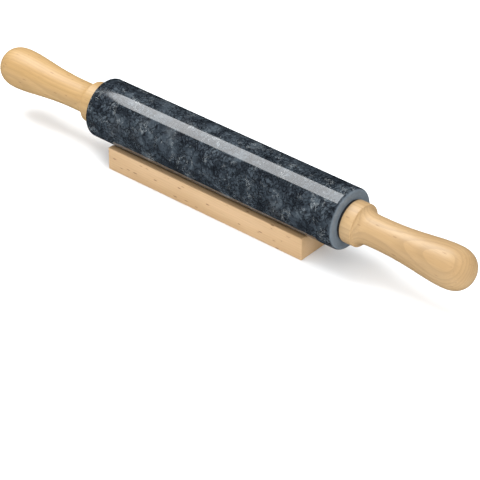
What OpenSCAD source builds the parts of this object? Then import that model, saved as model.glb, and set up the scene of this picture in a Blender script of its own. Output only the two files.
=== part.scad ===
// Stone rolling pin lying in its wooden cradle.
// A polished stone roller turns on a steel rod between two turned wooden handles.
// X runs along the pin, Z is up, and the origin lies on the table under the middle of the roller.

/* [Roller] */
// Diameter of the stone roller
roller_d = 50; // [44:0.5:64]
// Length of the stone roller
roller_len = 251; // [180:1:320]
// Rounding of the roller's two edges
roller_edge_r = 2.6; // [0.8:0.1:4]
// Diameter of the hole drilled through the roller
core_hole_d = 16; // [12:0.5:19]

/* [Rod and bushes] */
// Diameter of the steel rod
rod_d = 8; // [6:0.5:10]
// Depth that the rod reaches into each handle
rod_reach = 38; // [28:1:50]
// Bevel on each end of the rod
rod_bevel = 0.8; // [0.3:0.1:1.2]
// Outer diameter of a bush's body, pressed into the roller
bush_d = 20; // [17:0.5:24]
// Length of a bush's body inside the roller
bush_len = 15; // [8:1:30]
// Diameter of a bush's flange, which shows as the dark ring beside the stone
bush_flange_d = 33; // [26:0.5:34]
// Thickness of a bush's flange
bush_flange_t = 1.8; // [1:0.1:3]

/* [Handles] */
// Length of a handle
handle_len = 110.5; // [96:0.5:130]
// Diameter of the collar next to the roller
collar_d = 34.6; // [33:0.2:40]
// Width of the collar
collar_w = 10.6; // [6:0.2:13]
// Rounding of the collar's two edges
collar_edge_r = 0.6; // [0.3:0.1:1.2]
// Length of the hollow sweep from the collar down to the neck
cove_len = 8.5; // [4:0.5:11]
// Diameter of the neck, the slimmest place of the grip
neck_d = 25; // [22:0.5:28]
// Length of the neck between the cove and the start of the swell
neck_len = 1.5; // [0.5:0.5:8]
// Diameter of the grip at its fullest
grip_d = 34.2; // [30:0.2:40]
// How late the grip swells, where 1 is even
swell_delay = 1.45; // [1:0.05:2]
// Length of the rounded end past the fullest place
cap_len = 20; // [14:1:26]
// Bluntness of the rounded end, where 2 is an ellipse
cap_power = 2.45; // [2:0.05:3]

/* [Thread inserts] */
// Outer diameter of the brass insert in each handle
insert_d = 12; // [11:0.5:14]
// Length of the brass insert
insert_len = 20; // [10:1:26]
// Width of the groove that locks the insert in its glue
insert_groove_w = 1.2; // [0.6:0.1:1.6]
// Depth of that groove
insert_groove_depth = 0.6; // [0.3:0.1:0.8]

/* [Cradle] */
// Length of the cradle
cradle_len = 200; // [140:1:240]
// Width of the cradle
cradle_w = 40; // [36:1:60]
// Height of the cradle
cradle_h = 20; // [14:1:30]
// Rounding of the cradle's edges
cradle_edge_r = 1.4; // [0.5:0.1:2]
// Depth of the trough that holds the roller
trough_depth = 4.2; // [2:0.2:7]
// How much wider than the roller the trough is cut, measured on its radius
trough_ease = 2; // [0.5:0.5:8]
// How far the cradle's middle lies to the left of the roller's middle
cradle_shift = 5.3; // [0:0.1:20]

/* [Fits] */
// Radial room between the rod and its bushes
running_gap = 0.05; // [0.02:0.01:0.1]
// Radial room of a glued or pressed seat
seat_gap = 0.02; // [0.01:0.01:0.05]
// End play between each handle and its bush
end_play = 0.3; // [0.1:0.05:0.6]
// Room between the stone and the bottom of the trough
rest_gap = 0.2; // [0.1:0.05:0.4]
// Radial room around the rod's tip in a handle
tip_gap = 0.3; // [0.1:0.1:0.6]
// Room past the rod's tip in a handle
tip_room = 2; // [1:0.5:4]

/* [Hidden] */
$fn = 96;
through = 1;          // cuts run this far past the faces they open
arc_steps = 8;        // points along each small rounding
cap_steps = 22;       // points along the rounded end of a grip
sweep_steps = 36;     // points along the long swell of a grip
cove_rise = 0.15;     // the sweep out of the collar ends this far above the neck's own radius
cradle_wood = "burlywood";
handle_wood = "tan";
stone = "darkslategray";
steel = "silver";
brass = "goldenrod";
nylon = "dimgray";

roller_r = roller_d / 2;
rod_r = rod_d / 2;
handle_face = roller_len / 2 + bush_flange_t + end_play;
trough_r = roller_r + trough_ease;
trough_floor = cradle_h - trough_depth;
axis_z = trough_floor + rest_gap + roller_r;
fullest_at = handle_len - cap_len;
neck_from = collar_w + cove_len;
neck_at = neck_from + neck_len;
cove_high = collar_d / 2 - collar_edge_r;
cove_low = neck_d / 2 + cove_rise;

// Points of a quarter turn about a centre, from one angle to another.
function arc(x, y, r, from, to, steps = arc_steps) =
    [for (i = [0:steps]) let (a = from + (to - from) * i / steps) [x + r * cos(a), y + r * sin(a)]];
// Goes from 0 to 1 with level ends.
function ease(s) = s * s * (3 - 2 * s);
// Half thickness of the grip at a distance from the collar's face, between the neck and the fullest place.
function grip_r(u) =
    let (s = (u - neck_at) / (fullest_at - neck_at))
    neck_d / 2 + (grip_d - neck_d) / 2 * ease(pow(s, swell_delay));

// Outline of one handle: first number outwards from the roller, second the radius.
function handle_outline() = concat(
    [[0, 0]],
    arc(collar_edge_r, collar_d / 2 - collar_edge_r, collar_edge_r, 180, 90),
    arc(collar_w - collar_edge_r, collar_d / 2 - collar_edge_r, collar_edge_r, 90, 0),
    [for (i = [1:arc_steps]) let (a = 90 * i / arc_steps)
        [collar_w + cove_len * (1 - cos(a)), cove_high - (cove_high - cove_low) * sin(a)]],
    [for (i = [1:arc_steps]) let (s = i / arc_steps)
        [neck_from + neck_len * s, neck_d / 2 + cove_rise * (1 - s) * (1 - s)]],
    [for (i = [1:sweep_steps]) let (u = neck_at + (fullest_at - neck_at) * i / sweep_steps) [u, grip_r(u)]],
    [for (i = [1:cap_steps]) let (a = 90 * i / cap_steps)
        [fullest_at + cap_len * pow(sin(a), 2 / cap_power), grip_d / 2 * pow(abs(cos(a)), 2 / cap_power)]]
);

// Turns an outline of [distance, radius] points about the pin's own axis.
module turned(outline) {
    rotate([0, 90, 0])
        rotate_extrude()
            polygon([for (p = outline) [p[1], p[0]]]);
}

// Puts a right-hand piece, drawn from the roller's middle outwards, on its side of the pin.
module on_side(side) {
    translate([0, 0, axis_z])
        mirror([side < 0 ? 1 : 0, 0, 0])
            children();
}

// A round bar or hole along the pin's axis.
module bar(from, to, r) {
    translate([from, 0, 0])
        rotate([0, 90, 0])
            cylinder(h = to - from, r = r);
}

module marble_roller() {
    half = roller_len / 2;
    side_outline = concat(
        [[-half, 0]],
        arc(roller_edge_r - half, roller_r - roller_edge_r, roller_edge_r, 180, 90),
        arc(half - roller_edge_r, roller_r - roller_edge_r, roller_edge_r, 90, 0),
        [[half, 0]]
    );
    color(stone)
        translate([0, 0, axis_z])
            difference() {
                turned(side_outline);
                bar(-half - through, half + through, core_hole_d / 2);
                for (side = [-1, 1])
                    mirror([side < 0 ? 1 : 0, 0, 0])
                        bar(half - bush_len, half + through, bush_d / 2);
            }
}

module bush(side) {
    half = roller_len / 2;
    color(nylon)
        on_side(side)
            difference() {
                union() {
                    bar(half - bush_len, half + bush_flange_t, bush_d / 2 - seat_gap);
                    bar(half, half + bush_flange_t, bush_flange_d / 2);
                }
                bar(half - bush_len - through, half + bush_flange_t + through, rod_r + running_gap);
            }
}

module axle_rod() {
    tip = handle_face + rod_reach;
    color(steel)
        translate([0, 0, axis_z])
            turned([
                [-tip, 0], [-tip, rod_r - rod_bevel], [rod_bevel - tip, rod_r],
                [tip - rod_bevel, rod_r], [tip, rod_r - rod_bevel], [tip, 0]
            ]);
}

module handle(side) {
    color(handle_wood)
        on_side(side)
            translate([handle_face, 0, 0])
                difference() {
                    turned(handle_outline());
                    bar(-through, insert_len, insert_d / 2);
                    bar(-through, rod_reach + tip_room, rod_r + tip_gap);
                }
}

module thread_insert(side) {
    groove_count = 3;
    pitch = insert_len / (groove_count + 1);
    color(brass)
        on_side(side)
            translate([handle_face, 0, 0])
                difference() {
                    bar(0, insert_len, insert_d / 2 - seat_gap);
                    bar(-through, insert_len + through, rod_r + seat_gap);
                    for (i = [1:groove_count])
                        difference() {
                            bar(i * pitch - insert_groove_w / 2, i * pitch + insert_groove_w / 2, insert_d);
                            bar(0, insert_len, insert_d / 2 - seat_gap - insert_groove_depth);
                        }
                }
}

// A rectangle with round corners, centred on its width and standing on its base.
module rounded_block_outline(width, height) {
    e = cradle_edge_r;
    polygon(concat(
        arc(width / 2 - e, height - e, e, 0, 90),
        arc(e - width / 2, height - e, e, 90, 180),
        arc(e - width / 2, e, e, 180, 270),
        arc(width / 2 - e, e, e, 270, 360)
    ));
}

module cradle() {
    color(cradle_wood)
        translate([-cradle_shift, 0, 0])
            difference() {
                intersection() {
                    translate([-cradle_len / 2, 0, 0])
                        rotate([90, 0, 90])
                            linear_extrude(cradle_len)
                                rounded_block_outline(cradle_w, cradle_h);
                    translate([0, cradle_w / 2, 0])
                        rotate([90, 0, 0])
                            linear_extrude(cradle_w)
                                rounded_block_outline(cradle_len, cradle_h);
                }
                translate([0, 0, trough_floor + trough_r])
                    bar(-cradle_len / 2 - through, cradle_len / 2 + through, trough_r);
            }
}

cradle();
marble_roller();
bush(-1);  // left_bush
bush(1);  // right_bush
axle_rod();
handle(-1);  // left_handle
handle(1);  // right_handle
thread_insert(-1);  // left_thread_insert
thread_insert(1);  // right_thread_insert
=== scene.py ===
# %% [markdown]
# # A stone rolling pin in its wooden cradle
# The construction comes in as a fixed frame: one mesh per part, in metres, with X along the pin and Z up.
# This script never moves that frame. It dresses each part with a smooth mesh and a finish made from nodes,
# then sets the floor, the lights and the camera of a plain studio photograph.

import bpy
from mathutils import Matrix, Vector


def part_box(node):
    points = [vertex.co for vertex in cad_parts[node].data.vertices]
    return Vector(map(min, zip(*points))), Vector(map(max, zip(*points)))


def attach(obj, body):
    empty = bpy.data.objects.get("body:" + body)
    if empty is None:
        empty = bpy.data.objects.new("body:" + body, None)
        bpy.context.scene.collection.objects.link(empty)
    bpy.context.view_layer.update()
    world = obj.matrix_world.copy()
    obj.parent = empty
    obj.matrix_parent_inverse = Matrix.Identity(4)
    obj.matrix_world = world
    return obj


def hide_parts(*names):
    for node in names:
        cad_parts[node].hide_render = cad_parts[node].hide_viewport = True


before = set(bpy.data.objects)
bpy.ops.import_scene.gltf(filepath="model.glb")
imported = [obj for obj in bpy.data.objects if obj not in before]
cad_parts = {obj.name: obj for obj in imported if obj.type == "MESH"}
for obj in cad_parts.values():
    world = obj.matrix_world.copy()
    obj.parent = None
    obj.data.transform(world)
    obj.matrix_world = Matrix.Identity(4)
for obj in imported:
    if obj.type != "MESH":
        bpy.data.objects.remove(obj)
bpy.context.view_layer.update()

# %% Tools of the script
import math

import bmesh
import bpy
from mathutils import Matrix, Vector

MM = 0.001
scene = bpy.context.scene

# %% [markdown]
# ## Places that come from the frame
# Each new mesh takes its ends and radii from the box of the part that it stands for, so it can't drift away
# from the construction. The axis of the pin is the middle of the roller's box.

# %% Read the driving sizes
roller_low, roller_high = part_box("marble_roller")
AXIS_Z = (roller_low.z + roller_high.z) / 2
ROLLER_R = (roller_high.z - roller_low.z) / 2
ROLLER_HALF = roller_high.x
bush_low, bush_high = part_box("right_bush")
FLANGE_R = (bush_high.z - bush_low.z) / 2
FLANGE_END = bush_high.x
handle_low, handle_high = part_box("right_handle")
COLLAR_FACE = handle_low.x
HANDLE_LEN = handle_high.x - handle_low.x
COLLAR_R = (handle_high.z - handle_low.z) / 2
cradle_low, cradle_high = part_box("cradle")
print("axis height", round(AXIS_Z / MM, 2), "mm, roller radius", round(ROLLER_R / MM, 2), "mm")
print("handle length", round(HANDLE_LEN / MM, 2), "mm, collar radius", round(COLLAR_R / MM, 2), "mm")

# %% [markdown]
# ## Turning a part on the lathe
# The roller, bushes and handles are all turned, so each is a closed outline that is spun a full turn about
# the pin's axis. An outline is a list of corners, as distance along X and radius. The spin merges its last
# ring into its first, doubles at the tip are merged, and the normals are then made to point outwards.

# %% Helper: an arc of outline points
def arc(centre_x, centre_r, radius, first, last, steps):
    points = []
    for step in range(steps + 1):
        angle = math.radians(first + (last - first) * step / steps)
        points.append((centre_x + radius * math.cos(angle), centre_r + radius * math.sin(angle)))
    return points

# %% Helper: finish a bmesh as a piece of the object
def piece_from(bm, name, body, slot, *nodes):
    bmesh.ops.recalc_face_normals(bm, faces=bm.faces)
    mesh = bpy.data.meshes.new(name)
    bm.to_mesh(mesh)
    bm.free()
    piece = bpy.data.objects.new(name, mesh)
    scene.collection.objects.link(piece)
    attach(piece, body)
    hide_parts(*nodes)
    print(name, "rides on", body, "with", len(mesh.polygons), "faces")
    return piece

# %% Helper: spin an outline about the pin's axis
SPIN_STEPS = 160
WELD = 0.002 * MM

def turned(outline, side=1, closed=False):
    bm = bmesh.new()
    points = [bm.verts.new((side * x, 0, AXIS_Z + r)) for x, r in outline]
    pairs = list(zip(points, points[1:])) + ([(points[-1], points[0])] if closed else [])
    edges = [bm.edges.new(pair) for pair in pairs]
    bmesh.ops.spin(
        bm, geom=points + edges, cent=(0, 0, AXIS_Z), axis=(1, 0, 0), angle=2 * math.pi, steps=SPIN_STEPS,
        use_merge=True,
    )
    bmesh.ops.remove_doubles(bm, verts=bm.verts, dist=WELD)
    return bm

# %% Helper: smooth faces, with the sharp edges kept
def shade(piece, sharp_angle=40):
    mesh = piece.data
    mesh.polygons.foreach_set("use_smooth", [True] * len(mesh.polygons))
    mesh.set_sharp_from_angle(angle=math.radians(sharp_angle))
    return piece

# %% [markdown]
# ## Writing shaders as expressions
# A small class wraps a node's output socket. Arithmetic on it adds Math nodes, so a pattern reads as a
# formula. Every other node comes from one method, which takes the node's settings and the values of its
# sockets.

# %% Helper: a material and its expressions
class Value:
    def __init__(self, shader, socket):
        self.shader = shader
        self.socket = socket

    def math(self, operation, other, swap=False):
        pair = (other, self) if swap else (self, other)
        return self.shader.node("ShaderNodeMath", {"operation": operation}, {0: pair[0], 1: pair[1]})

    def __add__(self, other):
        return self.math("ADD", other)

    def __radd__(self, other):
        return self.math("ADD", other, swap=True)

    def __sub__(self, other):
        return self.math("SUBTRACT", other)

    def __mul__(self, other):
        return self.math("MULTIPLY", other)

    def __rmul__(self, other):
        return self.math("MULTIPLY", other, swap=True)

    def __truediv__(self, other):
        return self.math("DIVIDE", other)

class Shader:
    def __init__(self, name):
        self.material = bpy.data.materials.new(name)
        self.material.use_nodes = True
        self.tree = self.material.node_tree
        self.surface = self.tree.nodes["Principled BSDF"]

    def node(self, kind, settings=None, inputs=None, output=0):
        made = self.tree.nodes.new(kind)
        for key, setting in (settings or {}).items():
            if key == "stops":
                self.set_stops(made.color_ramp, setting)
            else:
                setattr(made, key, setting)
        for key, value in (inputs or {}).items():
            self.feed(made.inputs[key], value)
        return Value(self, made.outputs[output])

    def set_stops(self, ramp, stops):
        while len(ramp.elements) < len(stops):
            ramp.elements.new(1)
        for element, (place, color) in zip(ramp.elements, stops):
            element.position = place
            element.color = (*color, 1)

    def feed(self, socket, value):
        if isinstance(value, Value):
            self.tree.links.new(value.socket, socket)
        elif isinstance(value, tuple) and len(value) == 3 and socket.type == "RGBA":
            socket.default_value = (*value, 1)
        else:
            socket.default_value = value

    def finish(self, **sockets):
        for key, value in sockets.items():
            self.feed(self.surface.inputs[key.replace("_", " ")], value)
        print("material", self.material.name, "has", len(self.tree.nodes), "nodes")
        return self.material

    def place(self):
        return self.node("ShaderNodeTexCoord", output="Object")

    def about(self, centre, turn=(0, 0, 0)):
        return self.node(
            "ShaderNodeMapping", {"vector_type": "TEXTURE"},
            {"Vector": self.place(), "Location": centre, "Rotation": turn},
        )

    def drawn_out(self, vector, share):
        return self.node("ShaderNodeVectorMath", {"operation": "MULTIPLY"}, {0: vector, 1: (share, 1, 1)})

    def split(self, vector):
        xyz = self.node("ShaderNodeSeparateXYZ", {}, {0: vector})
        outputs = xyz.socket.node.outputs
        return [Value(self, outputs[axis]) for axis in "XYZ"]

    def noise(self, vector, scale, detail=2.0, roughness=0.5, output="Fac"):
        return self.node(
            "ShaderNodeTexNoise", {"noise_dimensions": "3D"},
            {"Vector": vector, "Scale": scale, "Detail": detail, "Roughness": roughness}, output,
        )

    def cells(self, vector, scale, feature="F1", output="Distance"):
        return self.node(
            "ShaderNodeTexVoronoi", {"voronoi_dimensions": "3D", "feature": feature},
            {"Vector": vector, "Scale": scale}, output,
        )

    def band(self, value, low, high, to_low=0.0, to_high=1.0):
        return self.node(
            "ShaderNodeMapRange", {"interpolation_type": "SMOOTHSTEP"},
            {"Value": value, "From Min": low, "From Max": high, "To Min": to_low, "To Max": to_high},
        )

    def mix(self, factor, first, second):
        mixed = self.node("ShaderNodeMix", {"data_type": "RGBA"}, {"Factor": factor}, "Result")
        sockets = [s for s in mixed.socket.node.inputs if s.type == "RGBA"]
        self.feed(sockets[0], first)
        self.feed(sockets[1], second)
        outputs = [s for s in mixed.socket.node.outputs if s.type == "RGBA"]
        return Value(self, outputs[0])

    def shifted(self, vector, amount, by):
        offset = self.node("ShaderNodeVectorMath", {"operation": "SUBTRACT"}, {0: by, 1: (0.5, 0.5, 0.5)})
        scaled = self.node("ShaderNodeVectorMath", {"operation": "SCALE"}, {0: offset, "Scale": amount})
        return self.node("ShaderNodeVectorMath", {"operation": "ADD"}, {0: vector, 1: scaled})

    def ridge(self, field, width):
        away = self.node("ShaderNodeMath", {"operation": "ABSOLUTE"}, {0: field - 0.5})
        return self.band(away, 0.0, width, 1.0, 0.0)

    def bump(self, height, strength, distance):
        return self.node(
            "ShaderNodeBump", {}, {"Height": height, "Strength": strength, "Distance": distance}, "Normal",
        )

# %% [markdown]
# ## Dark marble
# The stone is solid, so its pattern is three-dimensional and runs through the edge into the end face. Its
# tone is a sum of flat patches, clouds and grains, and a ramp turns the tone into slate blues. A broken
# network of near-black seams lies over it, with a few short pale veins and flecks on top. The side is
# polished, and the sawn end faces are rougher and paler.

# %% Marble
SLATE_TONES = [
    (0.36, (0.015, 0.019, 0.024)), (0.44, (0.024, 0.031, 0.039)), (0.52, (0.038, 0.048, 0.059)),
    (0.60, (0.056, 0.070, 0.083)), (0.70, (0.094, 0.113, 0.128)),
]
BROWN_STAIN = (0.045, 0.036, 0.030)
NEAR_BLACK = (0.004, 0.005, 0.007)
PALE_VEIN = (0.40, 0.43, 0.44)
PALE_FLECK = (0.26, 0.29, 0.30)
SAWN_STONE = (0.175, 0.212, 0.248)

def marble():
    s = Shader("dark_marble")
    place = s.place()
    bent = s.shifted(place, 0.010, s.noise(place, 60, detail=3, output="Color"))
    crumpled = s.shifted(bent, 0.0060, s.noise(bent, 210, detail=4, roughness=0.62, output="Color"))

    patch = s.split(s.cells(crumpled, 105, output="Color"))[0]
    shard = s.split(s.cells(crumpled, 340, output="Color"))[0]
    clouds = s.noise(bent, 75, detail=5, roughness=0.6)
    grains = s.noise(crumpled, 520, detail=4, roughness=0.7)
    tone = 0.12 * patch + 0.16 * shard + 0.42 * clouds + 0.30 * grains - 0.02
    body = s.node("ShaderNodeValToRGB", {"stops": SLATE_TONES}, {"Fac": tone}, "Color")

    brown = s.band(s.noise(place, 24, detail=3), 0.54, 0.72)
    body = s.mix(0.45 * brown, body, BROWN_STAIN)

    broken = s.band(s.noise(place, 60, detail=3), 0.38, 0.52)
    apart = s.band(s.noise(place, 70, detail=2), 0.62, 0.50)
    wide_seam = s.band(s.cells(crumpled, 125, feature="DISTANCE_TO_EDGE"), 0.01, 0.050, 1.0, 0.0)
    fine_seam = s.band(s.cells(crumpled, 340, feature="DISTANCE_TO_EDGE"), 0.03, 0.16, 1.0, 0.0)
    body = s.mix(0.85 * wide_seam * apart, body, NEAR_BLACK)
    body = s.mix(0.80 * fine_seam * broken, body, NEAR_BLACK)

    vein = s.ridge(s.noise(bent, 88, detail=7, roughness=0.74), 0.011)
    vein = vein * s.band(s.noise(place, 80, detail=3), 0.52, 0.64)
    body = s.mix(0.70 * vein, body, PALE_VEIN)

    fleck = s.band(s.noise(crumpled, 620, detail=3, roughness=0.7), 0.60, 0.70)
    fleck = fleck * s.band(s.noise(place, 95, detail=3), 0.50, 0.62)
    body = s.mix(0.50 * fleck, body, PALE_FLECK)

    reach = s.node("ShaderNodeMath", {"operation": "ABSOLUTE"}, {0: s.split(place)[0]})
    end_face = s.band(reach, ROLLER_HALF - 1.6 * MM, ROLLER_HALF - 0.2 * MM)
    color = s.mix(end_face, body, s.mix(0.58, body, SAWN_STONE))
    haze = s.noise(place, 30, detail=3)
    rough = s.band(haze, 0.3, 0.7, 0.045, 0.085) + 0.30 * end_face
    saw = s.noise(place, 1500, detail=2)
    normal = s.bump(saw * end_face, 0.12, 0.12 * MM)
    return s.finish(Base_Color=color, Roughness=rough, Normal=normal, IOR=1.52)

DARK_MARBLE = marble()

# %% [markdown]
# ## Beech
# Beech is pale and even, with soft growth rings, short brown pore dashes along the grain and fine silky
# streaks. The rings are distances from the heart of the tree, an axis that lies outside the piece and is
# tilted a little, so they come out as long flames on a turned handle and as curved lines on an end face.
# Each piece was cut from its own board, so each has its own heart, ring width and colour.

# %% Beech
PORE_BROWN = (0.19, 0.095, 0.040)

def beech(name, light, deep, heart, tilt, ring_mm, ring_depth, pore_depth):
    s = Shader(name)
    place = s.about(heart, tilt)
    wobble = s.noise(s.drawn_out(place, 0.25), 26, detail=3, output="Color")
    along, y, z = s.split(s.shifted(place, 0.0045, wobble))
    distance = s.node("ShaderNodeMath", {"operation": "SQRT"}, {0: y * y + z * z})
    year = s.node("ShaderNodeMath", {"operation": "FRACT"}, {0: distance / (ring_mm * MM)})
    late_wood = s.band(year, 0.30, 0.94) * s.band(year, 0.94, 1.0, 1.0, 0.0)

    silk = s.noise(s.drawn_out(place, 0.04), 1100, detail=3, roughness=0.6)
    broad = s.noise(s.drawn_out(place, 0.12), 60, detail=3)
    color = s.mix(s.band(broad, 0.34, 0.66), light, deep)
    color = s.mix(ring_depth * late_wood, color, tuple(0.62 * c for c in deep))
    color = s.mix(0.30 * s.band(silk, 0.42, 0.68), color, tuple(0.78 * c for c in deep))

    pores = s.cells(s.drawn_out(place, 0.24), 300)
    picked = s.noise(place, 160, detail=1)
    pore = s.band(pores, 0.10, 0.21, 1.0, 0.0) * s.band(picked, 0.46, 0.54)
    color = s.mix(pore_depth * pore, color, PORE_BROWN)
    rough = 0.42 + 0.10 * silk + 0.15 * pore
    normal = s.bump(silk - 1.2 * pore - 0.4 * late_wood, 0.10, 0.12 * MM)
    return s.finish(Base_Color=color, Roughness=rough, Normal=normal, Coat_Weight=0.15, Coat_Roughness=0.35)

RIGHT_BEECH = beech(
    "beech_flamed", light=(0.46, 0.310, 0.158), deep=(0.40, 0.255, 0.118), heart=(0.19, 0.044, 0.001),
    tilt=(0, 0.03, -0.02), ring_mm=2.3, ring_depth=0.30, pore_depth=0.40,
)
LEFT_BEECH = beech(
    "beech_straight", light=(0.46, 0.300, 0.135), deep=(0.39, 0.240, 0.095), heart=(-0.19, 0.070, 0.060),
    tilt=(0, 0.02, 0.03), ring_mm=2.6, ring_depth=0.26, pore_depth=0.45,
)
CRADLE_BEECH = beech(
    "beech_block", light=(0.57, 0.385, 0.215), deep=(0.50, 0.325, 0.168), heart=(0, 0.030, -0.075),
    tilt=(0, 0.01, 0.012), ring_mm=2.1, ring_depth=0.16, pore_depth=0.85,
)

# %% [markdown]
# ## Nylon, steel and brass
# The bushes are black nylon. Their near-black also paints the shade in the narrow gap, where only the flange
# edge shows as a dark ring beside the stone. The rod is drawn steel with fine lines along it, and the inserts
# are brass. Both are hidden in the whole pin.

# %% Nylon, steel and brass
def black_nylon():
    s = Shader("black_nylon")
    cloud = s.noise(s.place(), 300, detail=3)
    # Near-black: the nylon's own colour, and also painted shade for the gap beside the stone.
    color = s.mix(cloud, (0.010, 0.010, 0.011), (0.026, 0.026, 0.028))
    rough = s.band(cloud, 0.3, 0.7, 0.42, 0.58)
    normal = s.bump(s.noise(s.place(), 2500, detail=2), 0.08, 0.05 * MM)
    return s.finish(Base_Color=color, Roughness=rough, Normal=normal)

def drawn_metal(name, bright, dull, low, high):
    s = Shader(name)
    lines = s.noise(s.drawn_out(s.place(), 0.03), 1800, detail=3)
    color = s.mix(lines, dull, bright)
    rough = s.band(lines, 0.3, 0.7, low, high)
    normal = s.bump(lines, 0.1, 0.05 * MM)
    return s.finish(Base_Color=color, Roughness=rough, Metallic=1.0, Normal=normal)

# The bushes' black nylon, which also paints the shade in the gap between stone and handle.
BLACK_NYLON_GAP_SHADE = black_nylon()
STEEL = drawn_metal("rod_steel", (0.66, 0.66, 0.67), (0.50, 0.50, 0.52), 0.22, 0.36)
BRASS = drawn_metal("insert_brass", (0.80, 0.60, 0.28), (0.62, 0.44, 0.18), 0.25, 0.40)

# %% [markdown]
# ## The roller
# The roller is a drilled stone bar with a wider seat for a bush at each mouth. Eight corners make its closed
# outline, which is spun, and the two outer rims are then rounded by a bevel. The hole's edges are left plain,
# because the bushes cover them.

# %% Roller
CORE_HOLE_R = 8 * MM
SEAT_HOLE_R = 10 * MM
SEAT_FLOOR = bush_low.x
EDGE_ROUND = 2.6 * MM

def rim_edges(bm, x_places, radius, tolerance=0.01 * MM):
    found = []
    for edge in bm.edges:
        ends = [v.co for v in edge.verts]
        on_rim = all(abs(Vector((0, p.y, p.z - AXIS_Z)).length - radius) < tolerance for p in ends)
        on_face = any(all(abs(p.x - x) < tolerance for p in ends) for x in x_places)
        if on_rim and on_face:
            found.append(edge)
    return found

def round_rims(bm, x_places, radius, width, segments=6):
    rims = rim_edges(bm, x_places, radius)
    bmesh.ops.bevel(
        bm, geom=rims, offset=width, segments=segments, profile=0.5, affect="EDGES", material=-1,
        clamp_overlap=True,
    )
    print("rounded", len(rims), "rim edges by", round(width / MM, 2), "mm")

def make_roller():
    bm = turned([
        (-ROLLER_HALF, SEAT_HOLE_R), (-ROLLER_HALF, ROLLER_R), (ROLLER_HALF, ROLLER_R),
        (ROLLER_HALF, SEAT_HOLE_R), (SEAT_FLOOR, SEAT_HOLE_R), (SEAT_FLOOR, CORE_HOLE_R),
        (-SEAT_FLOOR, CORE_HOLE_R), (-SEAT_FLOOR, SEAT_HOLE_R),
    ], closed=True)
    round_rims(bm, (-ROLLER_HALF, ROLLER_HALF), ROLLER_R, EDGE_ROUND)
    piece = shade(piece_from(bm, "marble_roller_skin", "roller", "marble", "marble_roller"))
    piece.data.materials.append(DARK_MARBLE)

make_roller()

# %% [markdown]
# ## The bushes
# Each bush is a sleeve with a flange. Only the flange's rim shows, in the narrow dark gap between the stone
# and the handle, so its outer edges get a small round that catches a line of light. Its near-black finish is
# the nylon's own colour and also painted shade for that gap.

# %% Bushes
SEAT_GAP = 0.02 * MM
SLEEVE_R = SEAT_HOLE_R - SEAT_GAP
BUSH_HOLE_R = 4.05 * MM
FLANGE_ROUND = 0.3 * MM

def make_bush(side, name):
    bm = turned([
        (SEAT_FLOOR, BUSH_HOLE_R), (SEAT_FLOOR, SLEEVE_R), (ROLLER_HALF, SLEEVE_R), (ROLLER_HALF, FLANGE_R),
        (FLANGE_END, FLANGE_R), (FLANGE_END, BUSH_HOLE_R),
    ], side=side, closed=True)
    round_rims(bm, (side * FLANGE_END,), FLANGE_R, FLANGE_ROUND, segments=3)
    piece = shade(piece_from(bm, name + "_skin", "roller", "black_nylon", name))
    # Black nylon finish, which also paints the shade in the gap beside the stone.
    piece.data.materials.append(BLACK_NYLON_GAP_SHADE)

make_bush(-1, "left_bush")
make_bush(1, "right_bush")

# %% [markdown]
# ## The handles
# A handle is one turned piece: a straight collar with crisp edges, a hollow cove, a slim neck, a long swell
# and a blunt rounded end. The outline is written with arcs and one easing curve, in the order in which a
# turner would cut it. It starts in the pocket for the brass insert and the deeper hole for the rod.

# %% Handle sizes
COLLAR_W = 10.6 * MM
COLLAR_ROUND = 0.6 * MM
COVE_LEN = 8.5 * MM
COVE_RISE = 0.15 * MM
NECK_LEN = 1.5 * MM
NECK_R = 12.5 * MM
NECK_AT = COLLAR_W + COVE_LEN + NECK_LEN
GRIP_R = 17.1 * MM
SWELL_DELAY = 1.45
CAP_LEN = 20 * MM
CAP_POWER = 2.45
FULLEST_AT = HANDLE_LEN - CAP_LEN
POCKET_R = 6 * MM
POCKET_LEN = 20 * MM
ROD_HOLE_R = 4.3 * MM
ROD_HOLE_LEN = 40 * MM
COLLAR_STEPS = 6
COVE_STEPS = 12
NECK_STEPS = 6
SWEEP_STEPS = 44
CAP_STEPS = 36
print("the grip swells from", round(NECK_AT / MM, 2), "mm to", round(FULLEST_AT / MM, 2), "mm along")

# %% Handle outline
def swell(u):
    share = ((u - NECK_AT) / (FULLEST_AT - NECK_AT)) ** SWELL_DELAY
    return NECK_R + (GRIP_R - NECK_R) * share * share * (3 - 2 * share)

def collar_outline():
    corner_r = COLLAR_R - COLLAR_ROUND
    inner = arc(COLLAR_ROUND, corner_r, COLLAR_ROUND, 180, 90, COLLAR_STEPS)
    outer = arc(COLLAR_W - COLLAR_ROUND, corner_r, COLLAR_ROUND, 90, 0, COLLAR_STEPS)
    return inner + outer

def neck_outline():
    high = COLLAR_R - COLLAR_ROUND
    low = NECK_R + COVE_RISE
    points = []
    for step in range(1, COVE_STEPS + 1):
        angle = math.radians(90 * step / COVE_STEPS)
        points.append((COLLAR_W + COVE_LEN * (1 - math.cos(angle)), high - (high - low) * math.sin(angle)))
    start = COLLAR_W + COVE_LEN
    for step in range(1, NECK_STEPS + 1):
        share = step / NECK_STEPS
        points.append((start + NECK_LEN * share, NECK_R + COVE_RISE * (1 - share) ** 2))
    return points

def grip_outline():
    points = []
    for step in range(1, SWEEP_STEPS + 1):
        u = NECK_AT + (FULLEST_AT - NECK_AT) * step / SWEEP_STEPS
        points.append((u, swell(u)))
    for step in range(1, CAP_STEPS):
        angle = math.radians(90 * step / CAP_STEPS)
        along = math.sin(angle) ** (2 / CAP_POWER)
        points.append((FULLEST_AT + CAP_LEN * along, GRIP_R * math.cos(angle) ** (2 / CAP_POWER)))
    return points + [(HANDLE_LEN, 0)]

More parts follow.
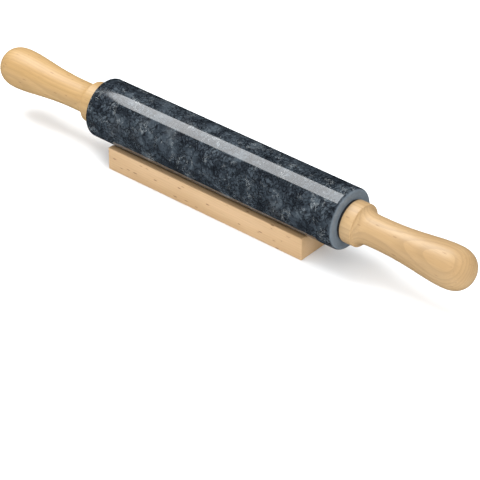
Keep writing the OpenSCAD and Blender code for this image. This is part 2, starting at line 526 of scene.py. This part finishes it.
# %% Handles
def make_handle(side, name, finish):
    pocket = [
        (ROD_HOLE_LEN, 0), (ROD_HOLE_LEN, ROD_HOLE_R), (POCKET_LEN, ROD_HOLE_R), (POCKET_LEN, POCKET_R),
        (0, POCKET_R),
    ]
    outline = pocket + collar_outline() + neck_outline() + grip_outline()
    bm = turned([(COLLAR_FACE + u, r) for u, r in outline], side=side)
    piece = shade(piece_from(bm, name + "_skin", "core", "handle_beech", name), sharp_angle=30)
    piece.data.materials.append(finish)

make_handle(-1, "left_handle", LEFT_BEECH)
make_handle(1, "right_handle", RIGHT_BEECH)

# %% [markdown]
# ## The cradle
# The cradle starts as one face: the block's end, with the trough as an arc in its top. It is extruded along
# X, and its sharp edges are then rounded by a bevel, so the trough's mouth and the corners catch the light.

# %% Cradle
TROUGH_DEPTH = 4.2 * MM
TROUGH_EASE = 2 * MM
TROUGH_R = ROLLER_R + TROUGH_EASE
CRADLE_ROUND = 1.4 * MM
TROUGH_STEPS = 48

def trough_points():
    centre_z = cradle_high.z - TROUGH_DEPTH + TROUGH_R
    reach = math.degrees(math.acos((TROUGH_R - TROUGH_DEPTH) / TROUGH_R))
    return arc(0, centre_z, TROUGH_R, 270 + reach, 270 - reach, TROUGH_STEPS)

def make_cradle():
    bm = bmesh.new()
    half_w = cradle_high.y
    top = cradle_high.z
    outline = [(-half_w, 0), (half_w, 0), (half_w, top)] + trough_points() + [(-half_w, top)]
    end = bm.faces.new([bm.verts.new((cradle_low.x, y, z)) for y, z in outline])
    drawn = bmesh.ops.extrude_face_region(bm, geom=[end])
    moved = [item for item in drawn["geom"] if isinstance(item, bmesh.types.BMVert)]
    bmesh.ops.translate(bm, verts=moved, vec=(cradle_high.x - cradle_low.x, 0, 0))
    bmesh.ops.recalc_face_normals(bm, faces=bm.faces)
    sharp = [edge for edge in bm.edges if edge.calc_face_angle(0) > math.radians(25)]
    bmesh.ops.bevel(
        bm, geom=sharp, offset=CRADLE_ROUND, segments=5, profile=0.5, affect="EDGES", material=-1,
        clamp_overlap=True,
    )
    piece = shade(piece_from(bm, "cradle_skin", "stand", "cradle_beech", "cradle"), sharp_angle=30)
    piece.data.materials.append(CRADLE_BEECH)

make_cradle()

# %% [markdown]
# ## The hidden rod and inserts
# These parts keep their own meshes, which already have the right shape, and only take a metal finish.

# %% Rod and inserts
for node_name, metal in (
    ("axle_rod", STEEL), ("left_thread_insert", BRASS), ("right_thread_insert", BRASS),
):
    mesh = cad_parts[node_name].data
    mesh.materials.clear()
    mesh.materials.append(metal)
    print(node_name, "has the finish", metal.name)

# %% [markdown]
# ## Floor
# A wide pale sheet stands in for the white studio table. It is the stage and not part of the object.

# %% Floor
FLOOR_HALF = 6.0

def make_floor():
    s = Shader("studio_floor")
    tone = s.noise(s.place(), 3, detail=2)
    s.finish(Base_Color=s.mix(tone, (0.88, 0.895, 0.91), (0.90, 0.915, 0.93)), Roughness=0.9)
    bm = bmesh.new()
    bmesh.ops.create_grid(bm, x_segments=1, y_segments=1, size=FLOOR_HALF)
    mesh = bpy.data.meshes.new("studio_floor")
    bm.to_mesh(mesh)
    bm.free()
    floor = bpy.data.objects.new("studio_floor", mesh)
    scene.collection.objects.link(floor)
    mesh.materials.append(s.material)
    floor.visible_glossy = False

make_floor()

# %% [markdown]
# ## Light
# One overhead softbox draws the long crisp band on the polished stone. Its width across the pin sets the
# band's width, and its left edge ends the band just before the roller's left end. Three wide fills light the
# wood and soften the shadows, and white air all round lifts what is left. The fills, the air and the floor
# are kept out of reflections, as black cards do in a studio, so the stone stays dark beside the band.

# %% Lights
KEY_HEIGHT = 1.0
KEY_LEFT = -0.98
KEY_RIGHT = -0.15
KEY_WIDTH = 0.69
KEY_WATTS = 13
KEY_PLAIN_SHARE = 0.6
KEY_COOL_WHITE = (0.97, 0.985, 1.0)
FILLS = (
    ("front_fill", (1.6, 1.0), 16, (0.5, -1.9, 0.8)),
    ("top_fill", (2.4, 2.4), 11, (0, 0, 1.3)),
    ("right_fill", (1.0, 1.0), 19, (1.8, -0.3, 0.9)),
)
AIR_STRENGTH = 0.75

def softbox(name, size, watts, place, aim):
    data = bpy.data.lights.new(name, "AREA")
    data.shape = "RECTANGLE"
    data.size, data.size_y = size
    data.energy = watts
    box = bpy.data.objects.new(name, data)
    box.location = place
    box.rotation_euler = (Vector(aim) - Vector(place)).to_track_quat("-Z", "Y").to_euler()
    scene.collection.objects.link(box)
    print(name, size, "m,", watts, "W")
    return box

def make_air(strength):
    world = bpy.data.worlds.new("studio_air")
    world.use_nodes = True
    background = world.node_tree.nodes["Background"]
    background.inputs["Color"].default_value = (1, 1, 1, 1)
    background.inputs["Strength"].default_value = strength
    world.cycles_visibility.glossy = False
    scene.world = world

def make_key():
    middle = (KEY_LEFT + KEY_RIGHT) / 2
    key = softbox(
        "key_softbox", (KEY_RIGHT - KEY_LEFT, KEY_WIDTH), KEY_WATTS, (middle, 0, KEY_HEIGHT), (middle, 0, 0),
    )
    key.data.diffuse_factor = KEY_PLAIN_SHARE
    key.data.color = KEY_COOL_WHITE

def make_fills():
    for name, size, watts, place in FILLS:
        fill = softbox(name, size, watts, place, (0, 0, 0))
        fill.visible_glossy = False

make_key()
make_fills()
make_air(AIR_STRENGTH)
scene.view_settings.view_transform = "Standard"

# %% [markdown]
# ## Camera
# The camera stands to the right of the pin and above it, with a long lens. Its angles come from the pin's
# straight edges in the photograph, so they hold for the whole object and not for one point.

# %% Camera
AZIMUTH = math.radians(40.429)
ELEVATION = math.radians(34.552)
DISTANCE = 1.8631
AIM_RIGHT = 0.01255
AIM_UP = -0.02755
LENS_MM = 177.35
SENSOR_MM = 36

def make_camera():
    back = Vector((math.sin(AZIMUTH) * math.cos(ELEVATION), -math.cos(AZIMUTH) * math.cos(ELEVATION),
                   math.sin(ELEVATION)))
    right = Vector((math.cos(AZIMUTH), math.sin(AZIMUTH), 0))
    up = back.cross(right)
    data = bpy.data.cameras.new("camera")
    data.lens = LENS_MM
    data.sensor_width = SENSOR_MM
    data.sensor_fit = "HORIZONTAL"
    data.dof.use_dof = False
    camera = bpy.data.objects.new("camera", data)
    scene.collection.objects.link(camera)
    turn = Matrix((right, up, back)).transposed().to_4x4()
    camera.matrix_world = Matrix.Translation(DISTANCE * back + AIM_RIGHT * right + AIM_UP * up) @ turn
    scene.camera = camera
    print("camera at", tuple(round(v, 3) for v in camera.location))

make_camera()

# %% [markdown]
# ## The end
# The dressed object has to stay as large as the frame. The last cell brings the scene up to date.

# %% Finish
bpy.context.view_layer.update()
